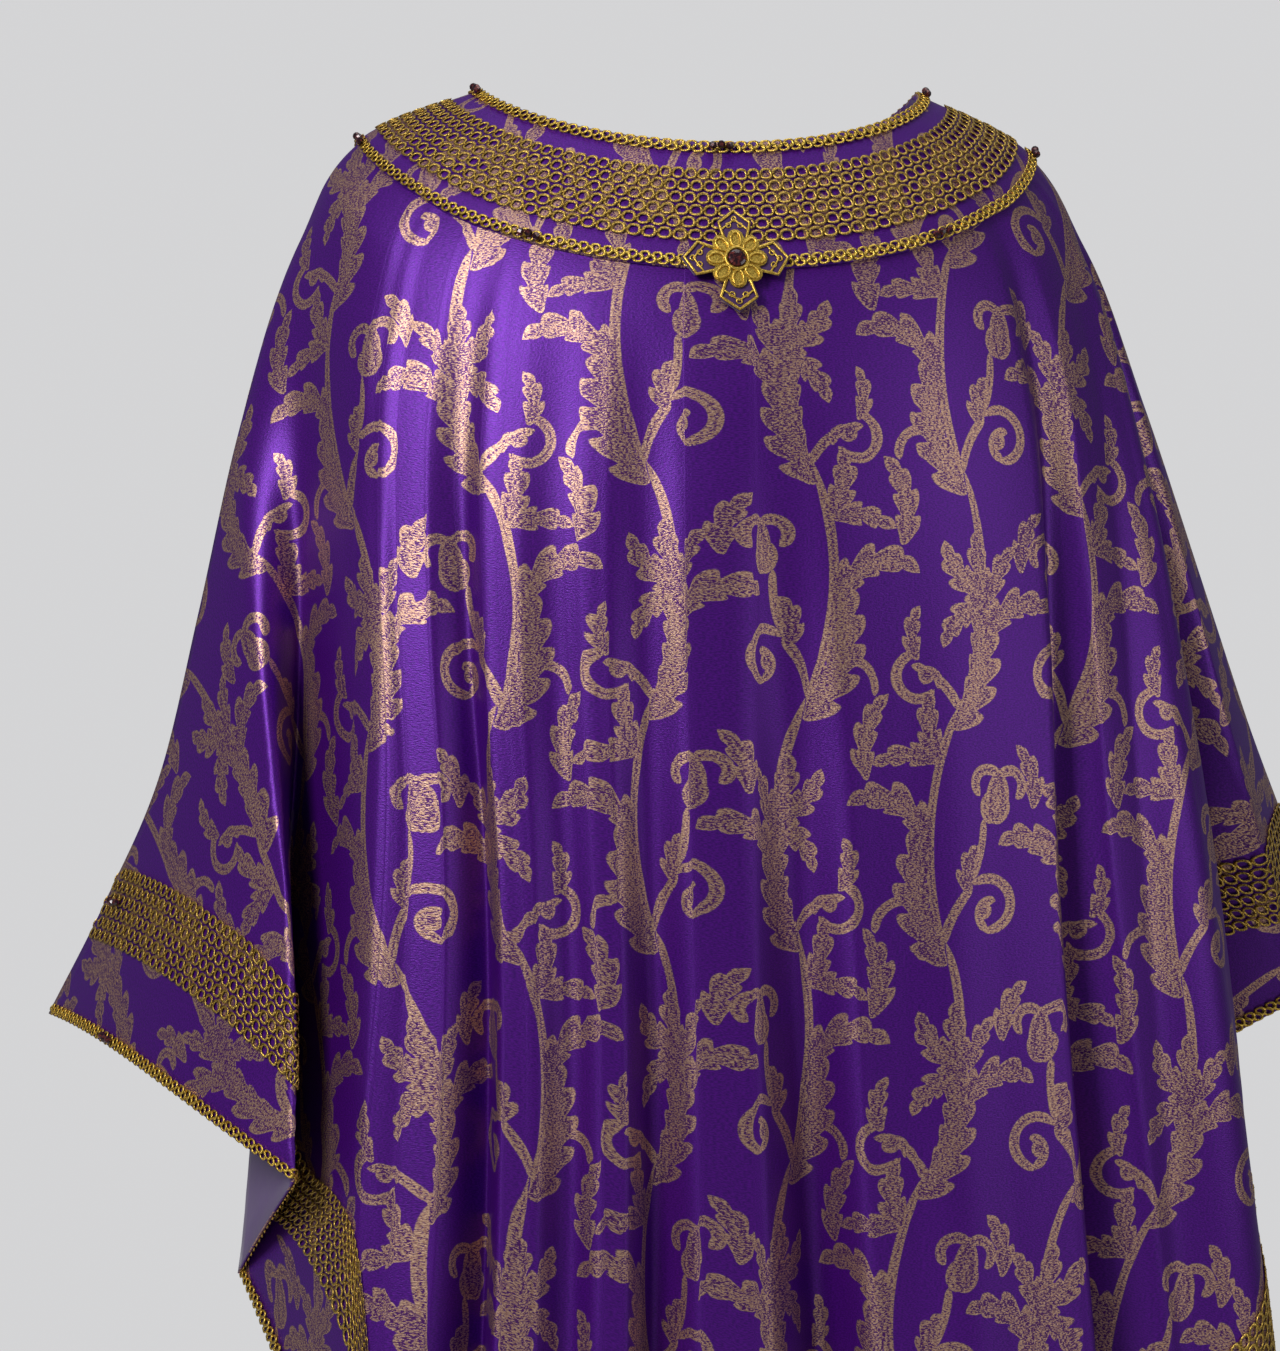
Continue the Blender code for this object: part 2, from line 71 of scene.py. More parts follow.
# A fold is a trough (depth above 0) or a ridge (below 0) that runs down the cloth.
Fold = namedtuple("Fold", "name top topHalf edge edgeHalf starts depth lean gather")
folds = (
    Fold("left back pleat", -81, 34.0, -57.3, 3.6, 0.13, 0.180, -52, 0.60),
    Fold("left blade trough", -43, 6.0, -44.5, 4.2, 0.05, 0.050, 8, 0.30),
    Fold("left inner trough", -27, 5.5, -31, 5.0, 0.09, 0.026, 0, 0.00),
    Fold("left middle trough", -14, 5.5, -15, 6.5, 0.10, 0.050, -6, 0.15),
    Fold("right middle trough", 2, 8.0, 19, 9.0, 0.14, 0.078, 6, 0.15),
    Fold("right inner ridge", 31, 9.0, 37, 8.0, 0.20, -0.012, 0, 0.00),
    Fold("right blade trough", 55, 5.8, 59, 5.0, 0.04, 0.056, -10, 0.30),
    Fold("right back ridge", 80, 8.0, 69, 6.5, 0.08, -0.034, 0, 0.00),
    Fold("right back pleat", 85, 5.0, 78.5, 3.8, 0.15, 0.165, 6, 0.50),
    Fold("right front pleat", 103, 30.0, 121, 4.2, 0.13, 0.150, -6, 0.50),
    Fold("right chest trough", 137, 6.0, 138, 5.0, 0.06, 0.060, 0, 0.30),
    Fold("right front trough", 157, 6.5, 154, 6.0, 0.10, 0.046, 0, 0.15),
    Fold("front middle trough", 176, 7.0, 174, 7.0, 0.12, 0.062, 0, 0.20),
    Fold("left front trough", 201, 7.0, 201, 6.5, 0.09, 0.044, 0, 0.15),
    Fold("left chest trough", 222, 6.0, 220, 5.0, 0.05, 0.058, 0, 0.30),
    Fold("left front pleat", 257, 30.0, 239, 4.2, 0.14, 0.150, 6, 0.50),
)


def wrapped(angle):
    return (angle + 180.0) % 360.0 - 180.0


def sectionColumn(name, down):
    at = np.array([row.down for row in drape["sections"]])
    value = np.array([getattr(row, name) for row in drape["sections"]])
    slope = np.gradient(value, at)
    i = np.clip(np.searchsorted(at, down, side="right") - 1, 0, len(at) - 2)
    span = at[i + 1] - at[i]
    t = (down - at[i]) / span
    return (
        value[i] * (1 + 2 * t) * (1 - t) ** 2
        + slope[i] * span * t * (1 - t) ** 2
        + value[i + 1] * t * t * (3 - 2 * t)
        + slope[i + 1] * span * t * t * (t - 1)
    )


def plan(angle, down):  # the cloth seen from above, before its folds
    back = np.abs(angle) <= 90.0
    left = angle < 0
    share = np.where(back, np.abs(angle), 180.0 - np.abs(angle)) / 90.0
    quarter = share * math.pi / 2
    flat = np.clip(sectionColumn("flat", down), 0.0, 1.0)
    across = (1 - flat) * np.sin(quarter) + flat * share ** drape["sideSpread"]
    along = (1 - flat) * np.cos(quarter) + flat * (1 - share ** drape["boxPower"])
    halfWidth = np.where(left, sectionColumn("leftX", down), sectionColumn("rightX", down))
    sideY = np.where(left, sectionColumn("leftY", down), sectionColumn("rightY", down))
    endY = np.where(back, sectionColumn("backY", down), sectionColumn("frontY", down))
    return np.sign(angle) * halfWidth * across, sideY + (endY - sideY) * along


def height(angle, down, share):  # share is 0 on the arm and 1 at the middle of back or front
    back = np.abs(angle) <= 90.0
    left = angle < 0
    rise = np.sin(share * math.pi / 2)
    fall = np.where(left, sectionColumn("leftFall", down), sectionColumn("rightFall", down))
    even = np.where(left, np.clip(sectionColumn("leftEven", down), 0, 1), 0)
    evenDrop = 1 - (1 - share ** drape["evenPower"]) ** drape["evenEnd"]
    drop = (1 - even) * rise**fall + even * evenDrop
    sideZ = np.where(left, sectionColumn("leftZ", down), sectionColumn("rightZ", down))
    endZ = np.where(back, sectionColumn("backZ", down), sectionColumn("frontZ", down))
    return sideZ + (endZ - sideZ) * drop


def foldHeadings(middle, down):  # the way the plan runs at the fold, towards larger angles
    xAfter, yAfter = plan(wrapped(middle + 0.25), down)
    xBefore, yBefore = plan(wrapped(middle - 0.25), down)
    length = np.hypot(xAfter - xBefore, yAfter - yBefore)
    return (xAfter - xBefore) / length, (yAfter - yBefore) / length


downTable = np.linspace(0, 1, 401)
headingTable = [
    foldHeadings(f.top + (f.edge - f.top) * downTable, downTable) for f in folds
]


def foldedPlan(angle, down):
    gathered = angle.copy()
    pushX, pushY = np.zeros(angle.shape), np.zeros(angle.shape)
    for fold, headings in zip(folds, headingTable):
        middle = fold.top + (fold.edge - fold.top) * down
        narrowing = (1 - down) ** drape["foldNarrowing"]
        half = fold.edgeHalf + (fold.topHalf - fold.edgeHalf) * narrowing
        off = wrapped(angle - middle)
        window = np.clip(1 - (off / half) ** 2, 0, None) ** 2
        growth = np.clip((down - fold.starts) / (1 - fold.starts), 0, None) ** drape["foldGrowth"]
        gathered -= fold.gather * np.minimum(growth * 2, 1) * off * window
        inward = fold.depth * growth * window * math.cos(math.radians(fold.lean))
        sideways = fold.depth * growth * window * math.sin(math.radians(fold.lean))
        runX = np.interp(down, downTable, headings[0])
        runY = np.interp(down, downTable, headings[1])
        pushX += sideways * runX - inward * runY
        pushY += sideways * runY + inward * runX
    x, y = plan(wrapped(gathered), down)
    return x + pushX, y + pushY


fineColumns = 721  # where lengths of cloth are measured
bendWeight = 0.045  # how strongly columns gather at bends


def sharesOfEdge():
    angles = np.linspace(-180, 180, 4 * fineColumns - 3)
    x, y = foldedPlan(angles, np.ones(len(angles)))
    steps = np.hypot(np.diff(x), np.diff(y))
    shares = np.zeros(len(angles))
    quarter = fineColumns - 1
    for q in range(4):
        part = steps[q * quarter : (q + 1) * quarter]
        rising = np.concatenate([[0], np.cumsum(part)]) / part.sum()
        # The quarters begin at the front, so the first and third run towards an arm.
        shares[q * quarter : (q + 1) * quarter + 1] = 1 - rising if q in (0, 2) else rising
    return angles, shares


edgeShares = sharesOfEdge()


def cloth(angle, down):  # a point of the draped cloth's outside
    angle, down = np.broadcast_arrays(np.asarray(angle, float), np.asarray(down, float))
    down = np.clip(down, 0, 1)
    turn = wrapped(angle)
    x, y = foldedPlan(turn, down)
    even = np.abs(np.abs(turn) - 90.0) / 90.0
    share = even + (np.interp(turn, *edgeShares) - even) * down
    return np.stack([x, y, height(turn, down, share)], axis=-1)


def smoothCloth(angle, down):  # without the folds, where the stiff cross lies
    x, y = plan(angle, down)
    return np.stack([x, y, height(angle, down, np.abs(np.abs(angle) - 90.0) / 90.0)], axis=-1)


def outward(angle, down):
    turn, drop = 0.4, 0.004
    along = cloth(angle + turn, down) - cloth(angle - turn, down)
    fall = cloth(angle, down + drop) - cloth(angle, down - drop)
    normal = np.cross(fall, along)
    return normal / np.linalg.norm(normal, axis=-1, keepdims=True)


def columnAngles(first, last, count):  # close together where the folded cloth bends
    fine = np.linspace(first, last, fineColumns)
    length = np.zeros(fineColumns)
    for down in (0.5, 1.0):
        run = np.diff(cloth(fine, down), axis=0)
        heading = np.unwrap(np.arctan2(run[:, 1], run[:, 0]))
        bend = np.abs(np.diff(heading, append=heading[-1:]))
        steps = np.linalg.norm(run, axis=1) + bendWeight * bend
        length[1:] += np.cumsum(steps) / steps.sum()
    return np.interp(np.linspace(0, length[-1], count), length, fine)


seamTurn = 0.06  # each panel stops this far short of the shoulder seam
panelSpans = {"back": (-90 + seamTurn, 90 - seamTurn), "front": (90 + seamTurn, 270 - seamTurn)}
cadColumns = 58  # the columns that the solids' distances were measured on


def downPerMetre(side, fromEdge):  # at the solids' columns: how far down one metre of cloth goes
    angles = columnAngles(*panelSpans[side], cadColumns)
    end, probe = (1.0, 0.02) if fromEdge else (0.0, 0.02)
    near, far = min(end + probe, 1.0), max(end - probe, 0.0)
    fall = (cloth(angles, near) - cloth(angles, far)) / (near - far)
    along = cloth(angles + 0.5, end) - cloth(angles - 0.5, end)
    along /= np.linalg.norm(along, axis=1, keepdims=True)
    across = np.linalg.norm(fall - along * (fall * along).sum(1, keepdims=True), axis=1)
    for _ in range(6):
        padded = np.concatenate([across[:1], across, across[-1:]])
        across = (padded[:-2] + 2 * padded[1:-1] + padded[2:]) / 4
    return angles, 1 / across


metreTables = {(s, e): downPerMetre(s, e) for s in ("back", "front") for e in (False, True)}


def downAt(angles, distance, fromEdge):  # a line that keeps its distance from neck or outer edge
    turns = (np.asarray(angles, float) + 90.0) % 360.0 - 90.0
    back = np.interp(turns, *metreTables["back", fromEdge])
    front = np.interp(turns, *metreTables["front", fromEdge])
    scale = np.where(turns <= 90, back, front)
    return 1.0 - distance * scale if fromEdge else distance * scale


trims = {
    "cloth": 0.002,
    "yokeCloth": 0.0015,
    "laceCloth": 0.001,
    "gimpCloth": 0.002,
    "seam": 0.0003,
    "gimpWidth": 0.009,
    "laceWidth": 0.056,
    "yokeLaceStart": 0.021,  # from the neck edge
    "yokeWidth": 0.096,
    "hemLaceStart": 0.064,  # from the outer edge
}
onPanel = trims["seam"]
onYoke = onPanel + trims["yokeCloth"] + trims["seam"]
onGimp = onYoke + trims["gimpCloth"] + trims["seam"]


def newMesh(name, points, faces, material, smooth=True, reverse=None, reverseFrom=None):
    mesh = bpy.data.meshes.new(name)
    mesh.from_pydata(np.asarray(points).tolist(), [], faces)
    mesh.materials.append(material)
    if reverse is not None:
        mesh.materials.append(reverse)
        kinds = np.zeros(len(mesh.polygons), np.int32)
        kinds[reverseFrom[0] : reverseFrom[1]] = 1
        mesh.polygons.foreach_set("material_index", kinds)
    if smooth:
        mesh.shade_smooth()
    mesh.update()
    piece = bpy.data.objects.new(name, mesh)
    scene.collection.objects.link(piece)
    return piece


def addValues(piece, name, values):
    layer = piece.data.attributes.new(name, "FLOAT", "POINT")
    layer.data.foreach_set("value", np.asarray(values, np.float32).ravel())


def place(piece, slot, *nodes, body="root"):
    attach(piece, body)
    if nodes:
        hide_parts(*nodes)
    return piece


class Thread:
    # A number on a material's links, so that shader maths reads as plain expressions.
    def __init__(self, finish, socket):
        self.finish = finish
        self.socket = socket

    def maths(self, operation, *others, clamp=False):
        values = dict(enumerate((self, *others)))
        return self.finish.node("Math", {"operation": operation, "use_clamp": clamp}, values)

    def swapped(self, operation, other):
        return self.finish.node("Math", {"operation": operation}, {0: other, 1: self})

    def __add__(self, other):
        return self.maths("ADD", other)

    def __sub__(self, other):
        return self.maths("SUBTRACT", other)

    def __mul__(self, other):
        return self.maths("MULTIPLY", other)

    def __truediv__(self, other):
        return self.maths("DIVIDE", other)

    def __mod__(self, other):
        return self.maths("FLOORED_MODULO", other)

    def __pow__(self, other):
        return self.maths("POWER", other)

    def __abs__(self):
        return self.maths("ABSOLUTE")

    def __rsub__(self, other):
        return self.swapped("SUBTRACT", other)

    def __rtruediv__(self, other):
        return self.swapped("DIVIDE", other)

    __radd__ = __add__
    __rmul__ = __mul__

    def rise(self, low, high):  # 0 below low, 1 above high, smooth between
        values = {"Value": self, "From Min": low, "From Max": high}
        return self.finish.node("MapRange", {"interpolation_type": "SMOOTHSTEP"}, values)


class Finish:
    # A procedural material under construction.
    def __init__(self, name, **constants):
        self.material = bpy.data.materials.new(name)
        self.material.use_nodes = True
        self.tree = self.material.node_tree
        self.shader = self.tree.nodes["Principled BSDF"]
        for socket, value in constants.items():
            self.shader.inputs[socket.replace("_", " ")].default_value = value

    def node(self, kind, settings=None, values=None, out=0):
        made = self.tree.nodes.new("ShaderNode" + kind)
        for key, value in (settings or {}).items():
            setattr(made, key, value)
        for key, value in (values or {}).items():
            if isinstance(value, Thread):
                self.tree.links.new(value.socket, made.inputs[key])
            else:
                made.inputs[key].default_value = value
        return Thread(self, made.outputs[out])

    def attribute(self, name):
        return self.node("Attribute", {"attribute_name": name}, out="Fac")

    def mix(self, share, first, second):
        colours = [c if isinstance(c, Thread) else (*c, 1) for c in (first, second)]
        return self.node("Mix", {"data_type": "RGBA"}, {0: share, 6: colours[0], 7: colours[1]}, out=2)

    def place(self, x, y, z=0.0):
        return self.node("CombineXYZ", None, {0: x, 1: y, 2: z})

    def noise(self, place, scale, detail=2.0, roughness=0.5, dimensions="3D"):
        values = {"Vector": place, "Scale": scale, "Detail": detail, "Roughness": roughness}
        return self.node("TexNoise", {"noise_dimensions": dimensions}, values)

    def bump(self, height, strength, distance):
        return self.node("Bump", None, {"Height": height, "Strength": strength, "Distance": distance})

    def wear(self, **links):
        for socket, thread in links.items():
            self.tree.links.new(thread.socket, self.shader.inputs[socket.replace("_", " ")])
        return self.material


# The scroll pattern, in millimetres. It repeats in columns that are mirrored and dropped by half.
# A stroke starts at x, y and runs at its heading, turning as it goes. One without lobes is a stem.
Stroke = namedtuple("Stroke", "x y heading length turn outer inner lobes", defaults=(0,))
brocade = {
    "column": 104.0,
    "repeat": 300.0,
    "strokes": (
        # the stem's two bows
        Stroke(0, -75, 67, 160, 46, 3.2, 3.0),
        Stroke(0, 75, 113, 160, -46, 3.2, 3.0),
        # first bow: a plume on its outside, its tip, a volute, a tulip and leaflets
        Stroke(-2, -84, 48, 104, 66, 19, 8, 6),
        Stroke(20, -8, 74, 66, -105, 15, 7, 4),
        Stroke(2, -72, 98, 44, 34, 3.4, 3.0),
        Stroke(-16, -32, 132, 68, 236, 3.8, 3.0),
        Stroke(-30, -58.5, 8, 30, 190, 3.4, 3.0),
        Stroke(-14, -38, 70, 34, 60, 9, 6, 3),
        Stroke(-16, -28, 112, 40, -26, 2.8, 2.6),
        Stroke(-30, 8, 97, 36, -8, 8.5, 8.5, 0.5),
        Stroke(-32, 38, 62, 34, -210, 4.0, 3.0),
        Stroke(-32, 38, 120, 34, 210, 4.0, 3.0),
        Stroke(-30, 10, 10, 24, 150, 3.6, 2.6),
        Stroke(-29, 10, 176, 24, -150, 3.6, 2.6),
        Stroke(12, 46, 60, 46, 40, 10, 8, 3),
        Stroke(14, 44, 20, 44, -50, 9, 7, 3),
        # second bow: a plume, its tip, a star of leaves and a volute that drops back
        Stroke(4, 66, 128, 96, -64, 18, 8, 6),
        Stroke(-24, 128, 110, 56, 100, 14, 7, 4),
        Stroke(-22, 150, 20, 52, 50, 12, 8, 4),
        Stroke(-22, 148, -12, 48, -60, 11, 7, 4),
        Stroke(-20, 152, 62, 44, 30, 10, 8, 3),
        Stroke(-22, 150, 100, 40, 30, 9, 7, 3),
        Stroke(0, 78, 70, 46, -66, 3.4, 3.0),
        Stroke(30, 112, 0, 60, -240, 3.8, 3.0),
        Stroke(15, 91, 118, 22, -180, 3.4, 3.0),
        Stroke(30, 108, 60, 36, 60, 8, 6, 3),
        # loose leaves between the stems
        Stroke(44, -120, 108, 60, -60, 11, 8, 4),
        Stroke(46, -66, 75, 34, 120, 3.8, 2.6),
        Stroke(-46, -130, 80, 44, 60, 9, 7, 3),
    ),
    "bulbs": ((-26, -47, 5.6), (24, 99, 5.6)),
    "ground": (0.100, 0.003, 0.270),
    "groundDeep": (0.050, 0.002, 0.160),
    "plum": (0.075, 0.008, 0.110),
    "glint": (0.640, 0.420, 0.280),
    "glintDim": (0.360, 0.190, 0.150),
}


def strokeReach(stroke):  # how far left and right a stroke goes
    steps = 20
    heading = np.radians(stroke.heading + stroke.turn * (np.arange(steps) + 0.5) / steps)
    x = stroke.x + np.concatenate([[0], np.cumsum(np.cos(heading))]) * stroke.length / steps
    half = max(stroke.outer, stroke.inner)
    return x.min() - half, x.max() + half


def allStrokes():  # with the ones that reach over from the next columns
    edge = brocade["column"] / 2
    for stroke in brocade["strokes"]:
        yield stroke
        low, high = strokeReach(stroke)
        for side, over in ((-1, low < -edge - 1), (1, high > edge + 1)):
            if over:
                yield stroke._replace(
                    x=side * brocade["column"] - stroke.x,
                    y=stroke.y + brocade["repeat"] / 2,
                    heading=180 - stroke.heading,
                    turn=-stroke.turn,
                )


def strokeDepth(finish, x, y, stroke):  # millimetres inside the stroke's edge
    turn = math.radians(stroke.turn)
    heading = math.radians(stroke.heading)
    radius, sign, span = stroke.length / abs(turn), math.copysign(1, turn), abs(turn)
    middleX = stroke.x - sign * radius * math.sin(heading)
    middleY = stroke.y + sign * radius * math.cos(heading)
    start = math.atan2(stroke.y - middleY, stroke.x - middleX)
    halfway = stroke.y + stroke.length * 0.45 * math.sin(heading + turn / 2)
    half = brocade["repeat"] / 2
    dx = x - middleX
    dy = y.maths("WRAP", halfway + half, halfway - half) - middleY
    away = finish.node("VectorMath", {"operation": "LENGTH"}, {0: finish.place(dx, dy)}, out=1)
    circle = 2 * math.pi
    turned = dy.maths("ARCTAN2", dx).maths("MULTIPLY_ADD", sign / circle, -start * sign / circle)
    along = (turned.maths("FRACT") * (circle / span)).maths("MINIMUM", 1.25)
    beside = away - radius
    if not stroke.lobes:
        ends = along.maths("MULTIPLY_ADD", 2.0, -1.0) ** 8
        width = (stroke.outer + stroke.inner) / 2
        return ends.maths("MULTIPLY_ADD", -width, width) - abs(beside)
    share = (beside / stroke.outer).maths("MAXIMUM", beside / -stroke.inner)
    ends = abs((along**0.8).maths("MULTIPLY_ADD", 2.0, -1.0)) ** 2.4
    body = (1 - ends).maths("MAXIMUM", 0.0) ** 0.75
    if stroke.lobes >= 1:
        swept = share.maths("MULTIPLY_ADD", -0.75, along.maths("MULTIPLY_ADD", stroke.lobes, 0.1))
        notch = abs(swept.maths("FRACT").maths("MULTIPLY_ADD", 2.0, -1.0)) ** 2.6
        body = body * (1 - notch * (share * 1.0).maths("MINIMUM", 0.62))
    return (body - share - 0.03) * ((stroke.outer + stroke.inner) / 2)


def scrollDepth(finish, x, y):
    wide = brocade["column"]
    column = (x / wide).maths("FLOOR")
    mirror = 1 - (column % 2) * 2
    x = (x - (column + 0.5) * wide) * mirror
    y = y + column * (brocade["repeat"] / 2)
    depth = None
    for stroke in allStrokes():
        here = strokeDepth(finish, x, y, stroke)
        depth = here if depth is None else depth.maths("MAXIMUM", here)
    half = brocade["repeat"] / 2
    for middleX, middleY, size in brocade["bulbs"]:
        offset = finish.place(x - middleX, y.maths("WRAP", middleY + half, middleY - half) - middleY)
        away = finish.node("VectorMath", {"operation": "LENGTH"}, {0: offset}, out=1)
        depth = depth.maths("MAXIMUM", size - away)
    return depth


def makeBrocade():
    finish = Finish("purple brocade")
    x = finish.attribute("across") * 1000
    y = finish.attribute("upward") * 1000
    depth = scrollDepth(finish, x, y)
    inside = depth.rise(-0.3, 0.4)
    # short bright threads, dense along the outline and in the heart of each leaf
    dashes = finish.place(x * 0.55, y * 1.05)
    thread = finish.noise(dashes, 1.0, 2.0, 0.75, "2D")
    drift = finish.noise(finish.place(x, y), 0.018, 1.0, 0.5, "2D")
    outline = 1 - depth.rise(1.4, 3.6)
    heart = depth.rise(4.2, 7.0)
    density = outline * 0.115 + heart * 0.06 + drift * 0.10 - 0.015
    lit = (thread + density).rise(0.545, 0.60) * inside
    cloud = finish.noise(finish.place(x * 0.6, y * 1.3), 1.0, 1.0, 0.6, "2D")
    ground = finish.mix(cloud.rise(0.25, 0.75), brocade["groundDeep"], brocade["ground"])
    gold = finish.mix(cloud.rise(0.35, 0.65), brocade["glintDim"], brocade["glint"])
    colour = finish.mix(inside * 0.85, ground, brocade["plum"])
    colour = finish.mix(lit, colour, gold)
    metal = 0.55 + lit * 0.3
    rough = 0.40 + cloud * 0.06 + lit * 0.02
    normal = finish.bump(thread, 0.35, 0.0006)
    return finish.wear(Base_Color=colour, Metallic=metal, Roughness=rough, Normal=normal)


def plainFinish(name, colour, roughness, metallic):
    return Finish(name, Base_Color=(*colour, 1), Roughness=roughness, Metallic=metallic).material


def makeGold(name, bright, deep, rough):  # twisted metal thread, with painted shade between its turns where the same noise makes the bump low
    finish = Finish(name, Metallic=0.9)
    place = finish.node("TexCoord", out="Object")
    turns = finish.noise(place, 1100.0, 2.0, 0.65)
    patches = finish.noise(place, 160.0, 2.0, 0.5)
    # painted shade: deep gold in the low spots of the turns' bump, bright gold on its crests
    colour = finish.mix(turns.rise(0.36, 0.60), deep, bright)
    colour = finish.mix(patches.rise(0.55, 0.75) * 0.35, colour, deep)
    normal = finish.bump(turns, 0.55, 0.0005)
    return finish.wear(Base_Color=colour, Roughness=rough + patches * 0.16, Normal=normal)


def makeSatin(name, bright, deep, rough):  # plain weave, with a slub here and there
    finish = Finish(name, Sheen_Weight=0.25)
    place = finish.node("TexCoord", out="Object")
    weave = finish.noise(place, 1400.0, 1.0, 0.5)
    slubs = finish.noise(place, 90.0, 3.0, 0.6)
    colour = finish.mix(weave * 0.5 + slubs * 0.5, deep, bright)
    normal = finish.bump(weave, 0.4, 0.0003)
    return finish.wear(Base_Color=colour, Roughness=rough + slubs * 0.15, Normal=normal)


def makeGarnet():  # nearly opaque, with clouds of lighter red in the glass
    finish = Finish("garnet glass", Coat_Roughness=0.04, Metallic=0.25)
    place = finish.node("TexCoord", out="Object")
    clouds = finish.noise(place, 420.0, 2.0, 0.5)
    colour = finish.mix(clouds.rise(0.45, 0.7), (0.020, 0.004, 0.008), (0.160, 0.025, 0.020))
    return finish.wear(Base_Color=colour, Roughness=0.10 + clouds * 0.08, Coat_Weight=clouds * 0.6)


brocadeCloth = makeBrocade()
lining = makeSatin("purple lining", (0.075, 0.008, 0.170), (0.030, 0.003, 0.080), 0.50)
crossField = makeSatin("purple cross field", (0.060, 0.006, 0.120), (0.018, 0.002, 0.045), 0.60)
# the second gold of each is the painted shade between the thread's turns, and also tints the random darker patches
laceGold = makeGold("gold lace", (0.70, 0.47, 0.10), (0.20, 0.11, 0.020), 0.30)
gimpGold = makeGold("gold gimp braid", (0.86, 0.60, 0.11), (0.36, 0.21, 0.030), 0.28)
garnet = makeGarnet()
print("chasuble: materials,", len(brocadeCloth.node_tree.nodes), "nodes in the brocade")

panels = {
    "back": {"columns": 380, "rows": 210},
    "front": {"columns": 330, "rows": 189},
    "innerEvery": (2, 3),  # the reverse side has every second column and every third row
    "yokeShare": 0.08,  # share of the rows above the yoke's edge
    "hemShare": 0.12,  # share of the rows in the trimmed band at the outer edge
    "cutAcross": 97,  # columns and rows of the cut that is flattened
    "cutDown": 55,
}


def panelDowns(angles, shares):  # rows of cloth as shares from the neck to the outer edge
    yoke = downAt(angles, trims["yokeWidth"], False)
    band = downAt(angles, trims["hemLaceStart"] + trims["laceWidth"], True)
    top, bottom = panels["yokeShare"], 1 - panels["hemShare"]
    shares = np.asarray(shares)[:, None]
    body = yoke + (band - yoke) * (shares - top) / (bottom - top)
    hem = band + (1 - band) * (shares - bottom) / (1 - bottom)
    return np.clip(np.where(shares < top, yoke * shares / top, np.where(shares < bottom, body, hem)), 0, 1)


def flattened(side):
    # A coarse copy of the panel is laid flat, so that the pattern lies on the cloth as it was cut.
    nc, nr = panels["cutAcross"], panels["cutDown"]
    angles = columnAngles(*panelSpans[side], nc)
    points = cloth(angles[None, :], panelDowns(angles, np.linspace(0, 1, nr)))
    faces = [
        (r * nc + c, (r + 1) * nc + c, (r + 1) * nc + c + 1, r * nc + c + 1)
        for r in range(nr - 1)
        for c in range(nc - 1)
    ]
    cut = newMesh("cut " + side, points.reshape(-1, 3), faces, lining)
    bpy.ops.object.select_all(action="DESELECT")
    cut.select_set(True)
    bpy.context.view_layer.objects.active = cut
    cut.data.uv_layers.new(name="cut")
    bpy.ops.object.mode_set(mode="EDIT")
    bpy.ops.mesh.select_all(action="SELECT")
    bpy.ops.uv.select_all(action="SELECT")
    bpy.ops.uv.unwrap(method="MINIMUM_STRETCH", iterations=60)
    bpy.ops.object.mode_set(mode="OBJECT")
    loops = np.zeros(len(cut.data.loops) * 2)
    cut.data.uv_layers["cut"].data.foreach_get("uv", loops)
    corners = np.zeros(len(cut.data.loops), int)
    cut.data.loops.foreach_get("vertex_index", corners)
    flat = np.zeros((nr * nc, 2))
    flat[corners] = loops.reshape(-1, 2)
    bpy.data.objects.remove(cut)
    flat = flat.reshape(nr, nc, 2)
    # Real size, from the lengths of all the columns' and rows' steps
    realSteps = np.linalg.norm(np.diff(points, axis=0), axis=2).sum()
    flatSteps = np.linalg.norm(np.diff(flat, axis=0), axis=2).sum()
    flat *= realSteps / flatSteps
    # The middle of the panel runs straight down
    middle = nc // 2
    fall = flat[-1, middle] - flat[0, middle]
    turn = math.atan2(fall[0], -fall[1])
    c, s = math.cos(turn), math.sin(turn)
    flat = (flat - flat[0, middle]) @ np.array([[c, -s], [s, c]])
    first, last = flat[-1, 0], flat[-1, -1]
    if first[0] > last[0]:
        flat[..., 0] *= -1
    return flat


def flatAt(flat, across, down):  # across and down are shares of the panel's columns and rows
    nr, nc = flat.shape[:2]
    c = np.clip(across, 0, 1) * (nc - 1)
    r = np.clip(down, 0, 1) * (nr - 1)
    c0 = np.minimum(c.astype(int), nc - 2)
    r0 = np.minimum(r.astype(int), nr - 2)
    fc, fr = (c - c0)[..., None], (r - r0)[..., None]
    top = flat[r0, c0] * (1 - fc) + flat[r0, c0 + 1] * fc
    bottom = flat[r0 + 1, c0] * (1 - fc) + flat[r0 + 1, c0 + 1] * fc
    return top * (1 - fr) + bottom * fr


